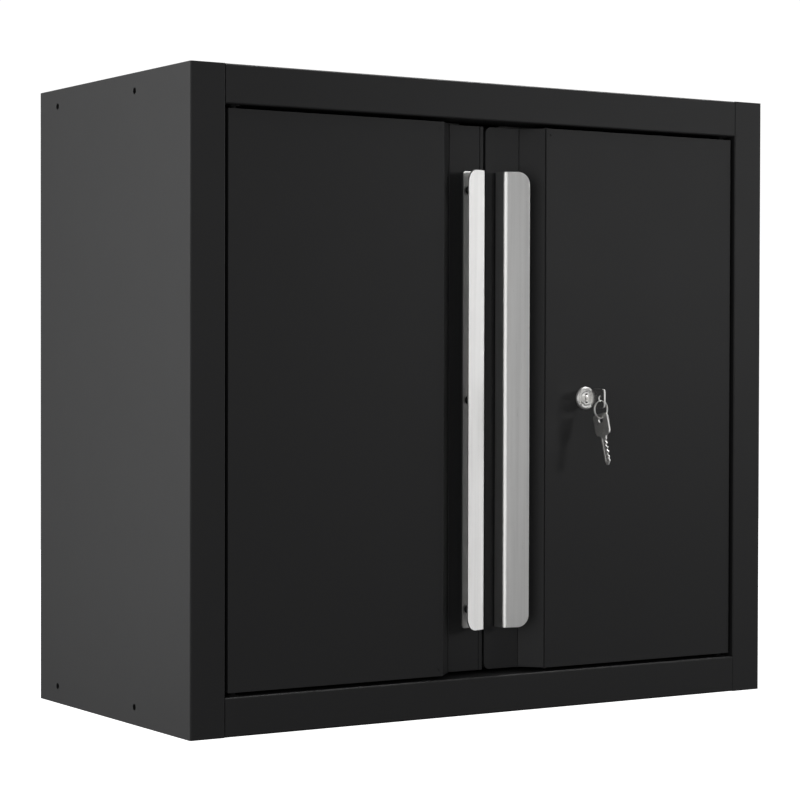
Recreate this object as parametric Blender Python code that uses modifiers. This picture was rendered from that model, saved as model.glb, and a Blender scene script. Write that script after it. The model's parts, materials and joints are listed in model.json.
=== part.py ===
"""Hanging wall cabinet: a folded sheet-steel box with two doors, a rod lock, a shelf and wall rails.

Metres, +Z up. The origin is the centre of the back face: +X is the viewer's right, -Y points out of the
wall towards the viewer. Every piece is modelled where it sits in the closed, unlocked cabinet.
"""

import math

import bmesh
import bpy
from mathutils import Matrix, Vector

# Cabinet
WIDTH = 0.660
HEIGHT = 0.604
DEPTH = 0.325
SHEET = 0.0010
GAP = 0.0003
BEND = 0.0018
STILE = 0.035
STILE_RETURN = 0.016
RAIL = 0.036
RAIL_LIP = 0.040
BACK_SHEET = 0.0008
FRONT = -DEPTH
SIDE_INNER = WIDTH / 2 - SHEET
OPENING_X = WIDTH / 2 - STILE
OPENING_Z = HEIGHT / 2 - RAIL
CORNER = SHEET + GAP
BACK_FLANGE = 0.020
LIP_RETURN = 0.012
SEAM = 0.0005
END_FLANGE = 0.034
END_FLANGE_FRONT = 0.045
END_FLANGE_BACK = 0.008

# Holes that join neighbouring cabinets, from the front and from the top or bottom edge
SIDE_HOLE = 0.006
SIDE_HOLE_Y = (FRONT + 0.112, FRONT + 0.282)
SIDE_HOLE_Z = HEIGHT / 2 - 0.0167

# Wall rails, and the holes at a 16 inch stud spacing
WALL_HOLE = 0.008
STUD_HALF = 0.2032
WALL_RAIL_Z = 0.245
WALL_RAIL_HALF = 0.020
WALL_RAIL_DEPTH = 0.014
WALL_RAIL_SPAN = 0.300
WALL_RAIL_SHEET = 0.0015
WALL_RAIL_BEND = 0.0025

# Shelf
SHELF_FRONT = FRONT + 0.050
SHELF_FOLD = 0.025
SHELF_HALF = 0.314
UPRIGHT_DEPTH = 0.012
UPRIGHT_HALF = 0.012
UPRIGHT_SPAN = 0.262
UPRIGHT_Y = (FRONT + 0.070, -0.045)
SLOT_PITCH = 0.0508
SLOT_COUNT = 9
SLOT = (0.009, 0.012)
CLIP_WIDTH = 0.008
CLIP_SHEET = 0.0015
CLIP_BEND = 0.0022
CLIP_HOOK = 0.010
CLIP_LEDGE = 0.012
CLIP_BEHIND = 0.004
UPRIGHT_FACE = SIDE_INNER - GAP - UPRIGHT_DEPTH

# Doors: distances from the frame's front plane, and from the cabinet's centre line
DOOR_FACE = 0.002
DOOR_BACK = 0.028
DOOR_HALF_HEIGHT = OPENING_Z - 0.0035
DOOR_HINGE_EDGE = OPENING_X - 0.004
DOOR_MEETING = 0.0013
RECESS_FLOOR = 0.022
SLOPE_TOP = 0.060
SLOPE_FOOT = 0.041
LINER_Y = 0.0265
DOOR_BEND = 0.0014
MEETING_CORNER = 0.0048
LINER_TRIM = 0.0045
LOCK_ACCESS_RADIUS = 0.014
HINGE_X = DOOR_HINGE_EDGE - 0.008
HINGE_Y = FRONT + 0.009
PIN_RADIUS = 0.003
PIN_REACH = 0.013
PIN_CHAMFER = 0.0006
PIN_HEAD_RADIUS = 0.0048
PIN_HEAD = 0.003
BUSHING_RADIUS = 0.0047
BUSHING_FLANGE_RADIUS = 0.007
BUSHING_FLANGE = 0.0013
BUSHING_LENGTH = 0.004
BUSHING_HOLE = 0.005

# Magnetic catches
CATCH_X = 0.045
CATCH_HALF = 0.022
CATCH_Y = (0.0305, 0.0395)
CATCH_DROP = 0.014
MAGNET_HALF = 0.014
MAGNET_Y = (0.0286, 0.0302)
MAGNET_DROP = (0.0025, 0.0115)

# Handles
HANDLE_SHEET = 0.0015
HANDLE_HALF = 0.2203
HANDLE_WEB = 0.011
HANDLE_FLANGE = 0.0253
HANDLE_BEND_Y = 0.0035
GRIP_EDGE = (0.0354, -0.0043)
GRIP_CORNER = 0.012
HANDLE_SCREW_X = 0.0195
HANDLE_SCREW_Z = (-0.2015, 0.0, 0.2015)
HANDLE_BEND = 0.003
FLANGE_CORNER = 0.0025
SCREW_HEAD_RADIUS = 0.0040
SCREW_RADIUS = 0.0020
SCREW_HOLE = 0.0023
SCREW_LENGTH = 0.006

# Lock and keys
LOCK_X = 0.1065
BEZEL_RADIUS = 0.01125
BARREL_RADIUS = 0.009
PLUG_RADIUS = 0.0068
TAIL_RADIUS = 0.004
BEZEL_HEIGHT = 0.0032
BARREL_BACK = FRONT + 0.0288
TAIL_BACK = FRONT + 0.0355
KEYWAY_HALF = (0.00135, 0.0046)
SCREW_BORE = 0.0018
NUT_RADIUS = 0.014
NUT_Y = (0.0034, 0.0074)
GUIDE_Z = 0.235
GUIDE_HALF_WIDTH = 0.007
GUIDE_INNER = 0.0078
GUIDE_FOOT = 0.016
GUIDE_FACE = 0.034
GUIDE_BEND = 0.0012
CAM_RADIUS = 0.0075
CAM_Y = (0.0333, 0.0353)
CAM_ARM_HALF = (0.014, 0.001, 0.004)
CAM_PIN = 0.002
CAM_PIN_Y = (0.0299, 0.0345)
CAM_SCREW_SEAT = 0.0358
CAM_PIN_RADIUS = 0.010
ROD_SHEET = 0.002
ROD_NEAR = 0.0045
ROD_FAR = 0.0165
ROD_Y = 0.0303
ROD_FOOT = 0.013
ROD_SLOT_HALF = 0.009
ROD_SLOT_Y = (0.0285, 0.0345)
ROD_NOTCH_HALF = 0.0025
KEY_SHEET = 0.002
KEY_HOLE_Y = FRONT - 0.0245
KEY_HOLE = 0.006
KEY_TOP = 0.0062
KEY_FOOT = -0.0153
KEY_HALF = 0.0095
KEY_TIP = -0.0443
KEY_BLADE = 0.004
RING_RADIUS = 0.0087
RING_WIRE = 0.0009
RING_TURN = math.radians(8)
SPARE_TILT = math.radians(-13)
WIRE_Z = -(KEY_HOLE / 2 - RING_WIRE - GAP)

BLACK = (0.018, 0.018, 0.019)
FINISHES = {
    "black_powder_coat": (BLACK, 0.42, 0.0),
    "brushed_stainless": ((0.62, 0.61, 0.60), 0.30, 1.0),
    "black_zinc": ((0.03, 0.03, 0.03), 0.35, 0.6),
    "bright_nickel": ((0.66, 0.65, 0.62), 0.18, 1.0),
    "zinc_plate": ((0.52, 0.53, 0.54), 0.34, 1.0),
    "white_nylon": ((0.72, 0.71, 0.68), 0.50, 0.0),
    "black_plastic": ((0.03, 0.03, 0.03), 0.50, 0.0),
    "magnet_steel": ((0.20, 0.20, 0.21), 0.40, 0.9),
}


def clear_scene():
    for thing in list(bpy.data.objects):
        bpy.data.objects.remove(thing, do_unlink=True)


def new_collection(name):
    made = bpy.data.collections.new(name)
    bpy.context.scene.collection.children.link(made)
    return made


clear_scene()
PARTS = new_collection("hanging_wall_cabinet")
CUTTERS = new_collection("cutters")


def finish_of(node, finish):
    """A material of the node's own in one of the named finishes."""
    colour, roughness, metallic = FINISHES[finish]
    made = bpy.data.materials.new(f"{node}_{finish}")
    made.use_nodes = True
    shader = made.node_tree.nodes["Principled BSDF"]
    shader.inputs["Base Color"].default_value = (*colour, 1.0)
    shader.inputs["Roughness"].default_value = roughness
    shader.inputs["Metallic"].default_value = metallic
    return made


def pivot(name, place, parent=None):
    """An empty on a joint's axis, which the pieces of a moving body hang from."""
    made = bpy.data.objects.new(name, None)
    made.empty_display_size = 0.02
    made.location = place
    PARTS.objects.link(made)
    hang(made, parent)
    return made


def hang(child, parent):
    """Parent the child to a pivot without moving it."""
    if parent:
        child.parent = parent
        child.matrix_parent_inverse = Matrix.Translation(-parent.location)


def piece(name, bm, finish, parent=None, smooth=False):
    """A named piece from a bmesh in world coordinates."""
    mesh = bpy.data.meshes.new(name)
    bm.to_mesh(mesh)
    bm.free()
    if smooth:
        mesh.shade_smooth()
        mesh.set_sharp_from_angle(angle=math.radians(35))
    made = bpy.data.objects.new(name, mesh)
    mesh.materials.append(finish_of(name, finish))
    PARTS.objects.link(made)
    hang(made, parent)
    return made


def helper(name, bm):
    """A cutter, or a shape that is joined to a piece."""
    mesh = bpy.data.meshes.new(name)
    bm.to_mesh(mesh)
    bm.free()
    made = bpy.data.objects.new(name, mesh)
    made.hide_render = True
    made.display_type = "WIRE"
    CUTTERS.objects.link(made)
    return made


def boolean(target, other, operation="DIFFERENCE"):
    made = target.modifiers.new(f"{operation.lower()}_{other.name}", "BOOLEAN")
    made.operation = operation
    made.solver = "EXACT"
    made.object = other


def solidify(target, thickness, inward):
    """Give an open surface its thickness, behind its normals or in front of them."""
    made = target.modifiers.new("sheet", "SOLIDIFY")
    made.thickness = thickness
    made.offset = -1.0 if inward else 1.0
    made.use_even_offset = True


def bevel(target, width, segments=2, angle=35):
    made = target.modifiers.new("edges", "BEVEL")
    made.width = width
    made.segments = segments
    made.limit_method = "ANGLE"
    made.angle_limit = math.radians(angle)


def add_box(bm, low, high):
    low, high = Vector(low), Vector(high)
    made = bmesh.ops.create_cube(bm, size=1.0)["verts"]
    for vert in made:
        vert.co = Vector((low[i] + (vert.co[i] + 0.5) * (high[i] - low[i]) for i in range(3)))
    return made


def box(low, high):
    bm = bmesh.new()
    add_box(bm, low, high)
    return bm


def add_cylinder(bm, start, end, radius, steps=16):
    start, end = Vector(start), Vector(end)
    along = end - start
    turn = along.to_track_quat("Z", "Y").to_matrix().to_4x4()
    place = Matrix.Translation((start + end) / 2) @ turn
    bmesh.ops.create_cone(bm, cap_ends=True, segments=steps, radius1=radius, radius2=radius,
                          depth=along.length, matrix=place)


def cylinder(start, end, radius, steps=16):
    bm = bmesh.new()
    add_cylinder(bm, start, end, radius, steps)
    return bm


def ordered(a, b):
    return (a, b) if a < b else (b, a)


def rounded(points, radius, steps=3):
    """The open outline through the points, with each corner between its ends turned into an arc."""
    out = [Vector(points[0])]
    for before, corner, after in zip(points, points[1:], points[2:]):
        corner = Vector(corner)
        arrive = (corner - Vector(before)).normalized()
        leave = (Vector(after) - corner).normalized()
        turn = arrive.angle_signed(leave)
        sense = math.copysign(1.0, -turn)
        left = Vector((-arrive.y, arrive.x)) * sense
        centre = corner - arrive * radius * math.tan(abs(turn) / 2) + left * radius
        for step in range(steps + 1):
            angle = sense * abs(turn) * step / steps
            spoke = -left * radius
            out.append(centre + Matrix.Rotation(angle, 2) @ spoke)
    out.append(Vector(points[-1]))
    return out


def strip(points, axis, low, high):
    """The open surface that an outline sweeps along X, Y or Z. Its normals face right of the outline."""
    places = {
        "X": lambda p, t: Vector((t, p[0], p[1])),
        "Y": lambda p, t: Vector((p[1], t, p[0])),
        "Z": lambda p, t: Vector((p[0], p[1], t)),
    }
    place = places[axis]
    bm = bmesh.new()
    verts = [bm.verts.new(place(point, low)) for point in points]
    edges = [bm.edges.new(pair) for pair in zip(verts, verts[1:])]
    swept = bmesh.ops.extrude_edge_only(bm, edges=edges)["geom"]
    ends = [item for item in swept if isinstance(item, bmesh.types.BMVert)]
    bmesh.ops.translate(bm, verts=ends, vec=place((0, 0), high) - place((0, 0), low))
    bm.normal_update()
    first = (Vector(points[1]) - Vector(points[0])).normalized()
    right = place((first.y, -first.x), 0)
    if edges[0].link_faces[0].normal.dot(right) < 0:
        bmesh.ops.reverse_faces(bm, faces=bm.faces)
    return bm


def bent_sheet(name, points, axis, low, high, finish, radius=BEND, sheet=SHEET, left=True, parent=None):
    """Folded sheet: the points are its outer outline, and its thickness lies left or right of them."""
    made = piece(name, strip(rounded(points, radius), axis, low, high), finish, parent, smooth=True)
    solidify(made, sheet, inward=left)
    return made


def extruded(outline, axis, low, high):
    """The closed prism of a flat outline along an axis."""
    bm = strip(list(outline) + [outline[0]], axis, low, high)
    bmesh.ops.remove_doubles(bm, verts=bm.verts, dist=1e-6)
    bmesh.ops.holes_fill(bm, edges=[edge for edge in bm.edges if edge.is_boundary])
    bmesh.ops.recalc_face_normals(bm, faces=bm.faces)
    return bm


def turned(name, profile, place, finish, parent=None, steps=20, looped=False, axis_turn=None):
    """A profile of (radius, height) points turned round an axis through place, along +Z unless turned."""
    bm = bmesh.new()
    verts = [bm.verts.new((radius, 0, height)) for radius, height in profile]
    for pair in zip(verts, verts[1:]):
        bm.edges.new(pair)
    if looped:
        bm.edges.new((verts[-1], verts[0]))
    made = piece(name, bm, finish)
    screw = made.modifiers.new("turn", "SCREW")
    screw.axis = "Z"
    screw.steps = steps
    screw.render_steps = steps
    screw.use_merge_vertices = True
    screw.merge_threshold = 0.00001
    made.matrix_basis = Matrix.Translation(place) @ (axis_turn or Matrix.Identity(4))
    hang(made, parent)
    return made


def both(value):
    return (-value, value)


def word(side):
    return "left" if side < 0 else "right"


# ---------------------------------------------------------------- carcass


def side_panel(side, hole_cutter):
    """One side with its front stile and its back flange, folded from one sheet."""
    outer = side * WIDTH / 2
    back = -BACK_SHEET - GAP
    path = [
        (outer - side * BACK_FLANGE, back),
        (outer, back),
        (outer, FRONT),
        (side * OPENING_X, FRONT),
        (side * OPENING_X, FRONT + STILE_RETURN),
    ]
    made = bent_sheet(f"side_panel_{word(side)}", path, "Z", *both(HEIGHT / 2),
                      "black_powder_coat", left=side < 0)
    relief = bmesh.new()
    for z in both(HEIGHT / 2):
        x = ordered(outer - side * CORNER, side * (OPENING_X - 0.002))
        zs = (z - CORNER, z + 0.01) if z > 0 else (z - 0.01, z + CORNER)
        add_box(relief, (x[0], FRONT + CORNER, zs[0]), (x[1], FRONT + 0.03, zs[1]))
        add_box(relief, (x[0], -0.02, zs[0]), (x[1], 0.01, zs[1]))
    boolean(made, helper(f"corner_relief_{word(side)}", relief))
    boolean(made, hole_cutter)


def side_hole_cutter(side):
    bm = bmesh.new()
    for y in SIDE_HOLE_Y:
        for z in both(SIDE_HOLE_Z):
            add_cylinder(bm, (side * 0.320, y, z), (side * 0.340, y, z), SIDE_HOLE / 2)
    return helper(f"side_holes_{word(side)}", bm)


def end_panel(level, hole_cutters, lip_cutter):
    """The top (level +1) or bottom (level -1) panel: sheet, front rail with its lip, and flanges."""
    name = "top_panel" if level > 0 else "bottom_panel"
    outer = level * HEIGHT / 2
    back = -BACK_SHEET - SHEET - 3 * GAP
    path = [
        (back, outer - level * BACK_FLANGE),
        (back, outer),
        (FRONT, outer),
        (FRONT, level * OPENING_Z),
        (FRONT + RAIL_LIP, level * OPENING_Z),
        (FRONT + RAIL_LIP, level * (OPENING_Z + LIP_RETURN)),
    ]
    made = bent_sheet(name, path, "X", *both(SIDE_INNER - GAP), "black_powder_coat", left=level > 0)
    for side in (-1, 1):
        x = ordered(side * (SIDE_INNER - GAP), side * (SIDE_INNER - GAP - SHEET))
        z = ordered(outer - level * 0.0004, outer - level * END_FLANGE)
        low = (x[0], FRONT + END_FLANGE_FRONT, z[0])
        flange = helper(f"{name}_flange_{word(side)}", box(low, (x[1], -END_FLANGE_BACK, z[1])))
        boolean(made, flange, "UNION")
    notches = {"stile": bmesh.new(), "lip": bmesh.new()}
    for side in (-1, 1):
        x = ordered(side * (OPENING_X - SEAM), side * 0.345)
        z = ordered(level * (OPENING_Z - 0.01), outer - level * CORNER)
        add_box(notches["stile"], (x[0], FRONT - 0.01, -0.31), (x[1], FRONT + CORNER, 0.31))
        add_box(notches["lip"], (x[0], FRONT - 0.01, z[0]), (x[1], FRONT + RAIL_LIP + 0.001, z[1]))
    for word_of, notch in notches.items():
        boolean(made, helper(f"{name}_{word_of}_notch", notch))
    for cutter in hole_cutters:
        boolean(made, cutter)
    boolean(made, lip_cutter)


def lip_cutter(level):
    """The holes in a rail's lip: one for each hinge bushing and a slot for a lock rod."""
    bm = bmesh.new()
    zs = ordered(level * (OPENING_Z - 0.004), level * (OPENING_Z + 0.008))
    for side in (-1, 1):
        x = side * HINGE_X
        add_cylinder(bm, (x, HINGE_Y, zs[0]), (x, HINGE_Y, zs[1]), BUSHING_HOLE, 20)
    rod_x = LOCK_X + level * (ROD_NEAR + ROD_FAR) / 2
    add_box(bm, (rod_x - ROD_SLOT_HALF, FRONT + ROD_SLOT_Y[0], zs[0]),
            (rod_x + ROD_SLOT_HALF, FRONT + ROD_SLOT_Y[1], zs[1]))
    return helper(f"lip_holes_{'top' if level > 0 else 'bottom'}", bm)


def wall_hole_cutter():
    bm = bmesh.new()
    for x in both(STUD_HALF):
        for z in both(WALL_RAIL_Z):
            add_cylinder(bm, (x, -0.030, z), (x, 0.010, z), WALL_HOLE / 2, 20)
    return helper("wall_holes", bm)


def back_panel(holes):
    inset = 0.0013
    bm = box((-WIDTH / 2 + inset, -BACK_SHEET, -HEIGHT / 2 + inset), (WIDTH / 2 - inset, 0, HEIGHT / 2 - inset))
    boolean(piece("back_panel", bm, "black_powder_coat"), holes)


def hanging_rail(level, holes):
    """A channel behind the wall holes, open towards the back panel."""
    middle = level * WALL_RAIL_Z
    back = -BACK_SHEET - GAP
    path = [
        (back, middle - WALL_RAIL_HALF),
        (-WALL_RAIL_DEPTH, middle - WALL_RAIL_HALF),
        (-WALL_RAIL_DEPTH, middle + WALL_RAIL_HALF),
        (back, middle + WALL_RAIL_HALF),
    ]
    name = "hanging_rail_upper" if level > 0 else "hanging_rail_lower"
    made = bent_sheet(name, path, "X", *both(WALL_RAIL_SPAN), "zinc_plate", sheet=WALL_RAIL_SHEET,
                      radius=WALL_RAIL_BEND, left=False)
    boolean(made, holes)


def shelf_upright(side, place, y):
    """A slotted channel on the side panel, open towards it."""
    wall = side * (SIDE_INNER - GAP)
    face = side * UPRIGHT_FACE
    path = [(wall, y - UPRIGHT_HALF), (face, y - UPRIGHT_HALF), (face, y + UPRIGHT_HALF), (wall, y + UPRIGHT_HALF)]
    name = f"shelf_upright_{word(side)}_{place}"
    made = bent_sheet(name, path, "Z", *both(UPRIGHT_SPAN), "black_powder_coat", left=side < 0)
    slots = bmesh.new()
    for index in range(SLOT_COUNT):
        z = (index - SLOT_COUNT // 2) * SLOT_PITCH
        x = ordered(face - side * 0.003, face + side * 0.003)
        add_box(slots, (x[0], y - SLOT[0] / 2, z - SLOT[1] / 2), (x[1], y + SLOT[0] / 2, z + SLOT[1] / 2))
    boolean(made, helper(f"{name}_slots", slots))


def shelf_clip(side, place, y):
    """A hook behind the upright's face and a ledge under the shelf."""
    foot = -SLOT[1] / 2 + GAP
    behind = side * (UPRIGHT_FACE + CLIP_BEHIND)
    path = [(foot + CLIP_HOOK, behind), (foot, behind), (foot, side * (UPRIGHT_FACE - CLIP_LEDGE))]
    bent_sheet(f"shelf_clip_{word(side)}_{place}", path, "Y", y - CLIP_WIDTH / 2, y + CLIP_WIDTH / 2,
               "zinc_plate", radius=CLIP_BEND, sheet=CLIP_SHEET, left=side > 0)


def shelf(parent):
    """A shelf with all four edges folded down."""
    under = -SLOT[1] / 2 + GAP + CLIP_SHEET + GAP
    bm = box((-SHELF_HALF, SHELF_FRONT, under), (SHELF_HALF, -0.004, under + SHELF_FOLD))
    open_face(bm, Vector((0, 0, -1)))
    made = piece("shelf", bm, "black_powder_coat", parent)
    bevel(made, BEND)
    solidify(made, SHEET, inward=True)


def open_face(bm, direction):
    """Delete the face that looks in the direction, which turns a closed box into a tray."""
    bm.normal_update()
    away = [face for face in bm.faces if face.normal.dot(direction) > 0.99]
    bmesh.ops.delete(bm, geom=away, context="FACES")


def hinge_bushing(side, level):
    """A flanged bushing in the rail's lip, with its flange towards the door."""
    name = f"hinge_bushing_{word(side)}_{'top' if level > 0 else 'bottom'}"
    bore = PIN_RADIUS + GAP
    profile = [
        (bore, -BUSHING_FLANGE),
        (BUSHING_FLANGE_RADIUS, -BUSHING_FLANGE),
        (BUSHING_FLANGE_RADIUS, -GAP),
        (BUSHING_RADIUS, -GAP),
        (BUSHING_RADIUS, BUSHING_LENGTH),
        (bore, BUSHING_LENGTH),
    ]
    flip = Matrix.Rotation(math.pi, 4, "X") if level < 0 else Matrix.Identity(4)
    turned(name, profile[::-1], (side * HINGE_X, HINGE_Y, level * OPENING_Z), "white_nylon",
           looped=True, axis_turn=flip)


def magnetic_catch(side):
    """A catch under the top rail's lip, with its magnet towards the closed door."""
    x = side * CATCH_X
    top = OPENING_Z - GAP
    block = box((x - CATCH_HALF, FRONT + CATCH_Y[0], top - CATCH_DROP), (x + CATCH_HALF, FRONT + CATCH_Y[1], top))
    bevel(piece(f"catch_body_{word(side)}", block, "black_plastic"), 0.001, 1)
    plate = box((x - MAGNET_HALF, FRONT + MAGNET_Y[0], top - MAGNET_DROP[1]),
                (x + MAGNET_HALF, FRONT + MAGNET_Y[1], top - MAGNET_DROP[0]))
    piece(f"catch_magnet_{word(side)}", plate, "magnet_steel")


# ---------------------------------------------------------------- doors


def door_skin(side, parent):
    """The door's outer tray: flat face, slope, recessed floor at the meeting edge, folded edges."""
    outline = [
        (DOOR_HINGE_EDGE, DOOR_BACK),
        (DOOR_HINGE_EDGE, DOOR_FACE),
        (SLOPE_TOP, DOOR_FACE),
        (SLOPE_FOOT, RECESS_FLOOR),
        (DOOR_MEETING, RECESS_FLOOR),
        (DOOR_MEETING, DOOR_BACK),
    ]
    bm = extruded([(side * x, FRONT + y) for x, y in outline], "Z", *both(DOOR_HALF_HEIGHT))
    if side > 0:
        round_meeting_corners(bm, side)
    open_face(bm, Vector((0, 1, 0)))
    made = piece(f"door_{word(side)}_skin", bm, "black_powder_coat", parent)
    bevel(made, DOOR_BEND)
    solidify(made, SHEET, inward=True)
    holes = bmesh.new()
    for z in both(DOOR_HALF_HEIGHT):
        add_cylinder(holes, (side * HINGE_X, HINGE_Y, z - 0.004), (side * HINGE_X, HINGE_Y, z + 0.004),
                     PIN_RADIUS + GAP, 20)
    if side > 0:
        add_cylinder(holes, (LOCK_X, FRONT - 0.005, 0), (LOCK_X, FRONT + 0.008, 0), BARREL_RADIUS + GAP, 24)
    boolean(made, helper(f"door_{word(side)}_holes", holes))


def round_meeting_corners(bm, side):
    corners = [
        edge for edge in bm.edges
        if all(abs(vert.co.x - side * DOOR_MEETING) < 1e-5 for vert in edge.verts)
        and abs(edge.verts[0].co.z - edge.verts[1].co.z) < 1e-6
    ]
    bmesh.ops.bevel(bm, geom=corners, offset=MEETING_CORNER, segments=4, profile=0.5, affect="EDGES")


def door_liner(side, parent):
    """The flat inner panel that closes the back of the door."""
    x = ordered(side * (DOOR_MEETING + CORNER), side * (DOOR_HINGE_EDGE - CORNER))
    z = DOOR_HALF_HEIGHT - CORNER - LINER_TRIM * (side > 0)
    made = piece(f"door_{word(side)}_liner", box((x[0], FRONT + LINER_Y, -z), (x[1], FRONT + LINER_Y + SHEET, z)),
                 "black_powder_coat", parent)
    if side > 0:
        hole = cylinder((LOCK_X, FRONT + 0.020, 0), (LOCK_X, FRONT + 0.030, 0), LOCK_ACCESS_RADIUS, 24)
        boolean(made, helper("lock_access_hole", hole))


def handle(side, parent):
    """A long handle bent from one bright sheet: flange on the recessed floor, web, and flared grip."""
    path = [
        (side * HANDLE_FLANGE, FRONT + RECESS_FLOOR - GAP),
        (side * HANDLE_WEB, FRONT + RECESS_FLOOR - GAP),
        (side * HANDLE_WEB, FRONT + HANDLE_BEND_Y),
        (side * GRIP_EDGE[0], FRONT + GRIP_EDGE[1]),
    ]
    bm = strip(rounded(path, HANDLE_BEND), "Z", *both(HANDLE_HALF))
    for edge_x, radius in ((HANDLE_FLANGE, FLANGE_CORNER), (GRIP_EDGE[0], GRIP_CORNER)):
        corners = [v for v in bm.verts if v.is_boundary and abs(v.co.x - side * edge_x) < 1e-5]
        bmesh.ops.bevel(bm, geom=corners, offset=radius, segments=5, profile=0.5, affect="VERTICES")
    made = piece(f"handle_{word(side)}", bm, "brushed_stainless", parent, smooth=True)
    solidify(made, HANDLE_SHEET, inward=side > 0)
    holes = bmesh.new()
    for z in HANDLE_SCREW_Z:
        x = side * HANDLE_SCREW_X
        add_cylinder(holes, (x, FRONT + 0.015, z), (x, FRONT + 0.024, z), SCREW_HOLE, 12)
    cutter = helper(f"handle_{word(side)}_holes", holes)
    boolean(made, cutter)
    boolean(bpy.data.objects[f"door_{word(side)}_skin"], cutter)


def handle_screw(side, index, z, parent):
    """A pan-head screw through the handle's flange and the door's floor."""
    profile = [
        (0, 0.0022),
        (0.0022, 0.0020),
        (0.0036, 0.0012),
        (SCREW_HEAD_RADIUS, 0),
        (SCREW_RADIUS, 0),
        (SCREW_RADIUS, -SCREW_LENGTH),
        (0, -SCREW_LENGTH),
    ]
    towards_viewer = Matrix.Rotation(math.radians(90), 4, "X")
    seat = FRONT + RECESS_FLOOR - GAP - HANDLE_SHEET - GAP
    turned(f"handle_{word(side)}_screw_{index + 1}", profile, (side * HANDLE_SCREW_X, seat, z), "black_zinc",
           parent, steps=12, axis_turn=towards_viewer)


def hinge_pin(side, level, parent):
    """A shouldered pin: its head sits inside the door's end, its shank turns in the rail's bushing."""
    name = f"hinge_pin_{word(side)}_{'top' if level > 0 else 'bottom'}"
    head_top = DOOR_HALF_HEIGHT - SHEET - GAP
    profile = [
        (0, head_top + PIN_REACH),
        (PIN_RADIUS - PIN_CHAMFER, head_top + PIN_REACH),
        (PIN_RADIUS, head_top + PIN_REACH - PIN_CHAMFER),
        (PIN_RADIUS, head_top),
        (PIN_HEAD_RADIUS, head_top),
        (PIN_HEAD_RADIUS, head_top - PIN_HEAD),
        (0, head_top - PIN_HEAD),
    ]
    flip = Matrix.Rotation(math.pi, 4, "X") if level < 0 else Matrix.Identity(4)
    turned(name, profile, (side * HINGE_X, HINGE_Y, 0), "zinc_plate", parent, steps=20, axis_turn=flip)


def door(side):
    """One door with its own pivot on the hinge pins' axis."""
    hinge = pivot(f"door_{word(side)}_pivot", (side * HINGE_X, HINGE_Y, 0))
    door_skin(side, hinge)
    door_liner(side, hinge)
    handle(side, hinge)
    for index, z in enumerate(HANDLE_SCREW_Z):
        handle_screw(side, index, z, hinge)
    for level in (-1, 1):
        hinge_pin(side, level, hinge)
    return hinge


# ---------------------------------------------------------------- lock

TO_VIEWER = Matrix.Rotation(math.radians(90), 4, "X")


def lock_housing(parent):
    """The barrel through the door's face, with the round bezel in front; heights run towards the viewer."""
    seat = -(FRONT + DOOR_FACE) + GAP
    front = seat + BEZEL_HEIGHT
    back = -BARREL_BACK
    bore = PLUG_RADIUS + GAP
    profile = [
        (bore, front - 0.0003),
        (0.0092, front),
        (BEZEL_RADIUS, front - 0.0013),
        (BEZEL_RADIUS, seat),
        (BARREL_RADIUS, seat),
        (BARREL_RADIUS, back),
        (bore, back),
    ]
    turned("lock_housing", profile, (LOCK_X, 0, 0), "bright_nickel", parent, steps=28, looped=True,
           axis_turn=TO_VIEWER)


def lock_nut(parent):
    """The hexagon nut that clamps the barrel to the door's face from inside."""
    made = piece("lock_nut", cylinder((LOCK_X, FRONT + NUT_Y[0], 0), (LOCK_X, FRONT + NUT_Y[1], 0), NUT_RADIUS, 6),
                 "zinc_plate", parent)
    hole = cylinder((LOCK_X, FRONT, 0), (LOCK_X, FRONT + 0.012, 0), BARREL_RADIUS + GAP, 24)
    boolean(made, helper("lock_nut_hole", hole))


def rod_guide(level, parent):
    """A strap over a lock rod, fixed to the door's inner panel."""
    middle = LOCK_X + level * (ROD_NEAR + ROD_FAR) / 2
    foot = FRONT + LINER_Y + SHEET + GAP + 0.001
    path = [
        (middle - GUIDE_FOOT, foot),
        (middle - GUIDE_INNER, foot),
        (middle - GUIDE_INNER, FRONT + GUIDE_FACE),
        (middle + GUIDE_INNER, FRONT + GUIDE_FACE),
        (middle + GUIDE_INNER, foot),
        (middle + GUIDE_FOOT, foot),
    ]
    z = level * GUIDE_Z
    bent_sheet(f"rod_guide_{'upper' if level > 0 else 'lower'}", path, "Z", z - GUIDE_HALF_WIDTH,
               z + GUIDE_HALF_WIDTH, "zinc_plate", radius=GUIDE_BEND, left=False, parent=parent)


def lock_plug(parent):
    """The turning plug with its keyway and the tail that drives the cam."""
    front = -FRONT + 0.0013
    tail = -BARREL_BACK
    end = -TAIL_BACK
    profile = [
        (0, front),
        (PLUG_RADIUS, front),
        (PLUG_RADIUS, tail),
        (TAIL_RADIUS, tail),
        (TAIL_RADIUS, end),
        (0, end),
    ]
    made = turned("lock_plug", profile, (LOCK_X, 0, 0), "bright_nickel", parent, steps=24, axis_turn=TO_VIEWER)
    cuts = bmesh.new()
    wide, tall = KEYWAY_HALF
    add_box(cuts, (LOCK_X - wide, FRONT - 0.003, -tall), (LOCK_X + wide, FRONT + 0.022, tall))
    add_cylinder(cuts, (LOCK_X, FRONT + 0.027, 0), (LOCK_X, FRONT + 0.040, 0), SCREW_BORE, 12)
    boolean(made, helper("plug_cuts", cuts))


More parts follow.
